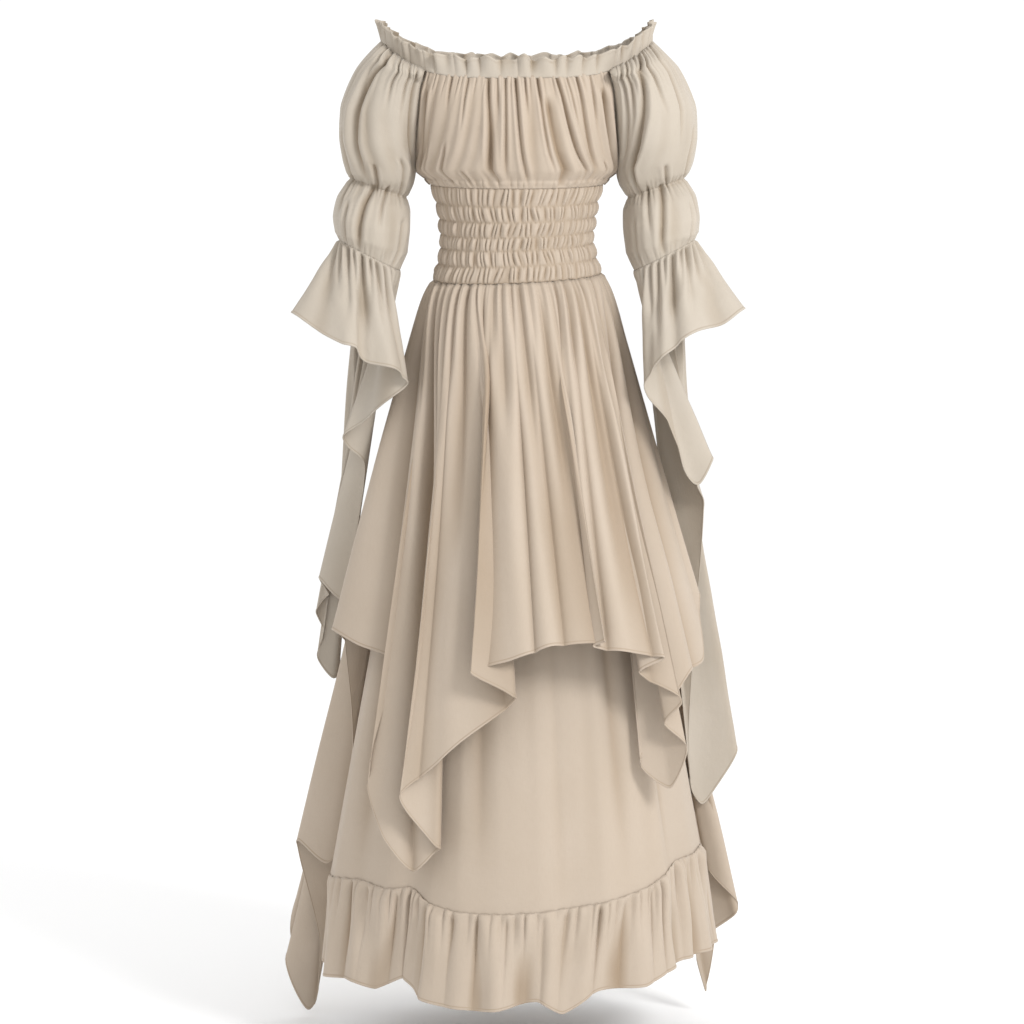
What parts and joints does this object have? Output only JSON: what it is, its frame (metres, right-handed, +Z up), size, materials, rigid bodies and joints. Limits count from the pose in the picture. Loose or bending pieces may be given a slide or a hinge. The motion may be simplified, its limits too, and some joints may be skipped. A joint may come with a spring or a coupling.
{
  "type": "medieval style gown",
  "caption": "Long off-shoulder gown held in worn form: ruffled neckline, gathered sleeves with long flounces, shirred waist, handkerchief overskirt and a long skirt with a gathered hem.",
  "frame": {"origin": "middle of the shirred waist, on the wearer's axis", "axes": "+Z up along the wearer, -Y out of the front, +X towards the right side of the picture, which is the wearer's left"},
  "size_m": [0.6755, 0.5132, 1.4582],
  "materials": {
    "cream_cloth": "soft plain weave, matt with a faint sheen",
    "pale_cloth": "the same cloth in one layer, lighter"
  },
  "bodies": {
    "root": {"neck_ruffle": "pale_cloth", "bodice_front": "cream_cloth", "bodice_back": "cream_cloth", "waist_shirring_front": "cream_cloth", "waist_shirring_back": "cream_cloth", "sleeve_left": "pale_cloth", "sleeve_right": "pale_cloth", "sleeve_flounce_left": "pale_cloth", "sleeve_flounce_right": "pale_cloth", "overskirt_front": "cream_cloth", "overskirt_back": "cream_cloth", "underskirt_front": "cream_cloth", "underskirt_back": "cream_cloth", "hem_ruffle_front": "cream_cloth", "hem_ruffle_back": "cream_cloth"}
  },
  "joints": []
}
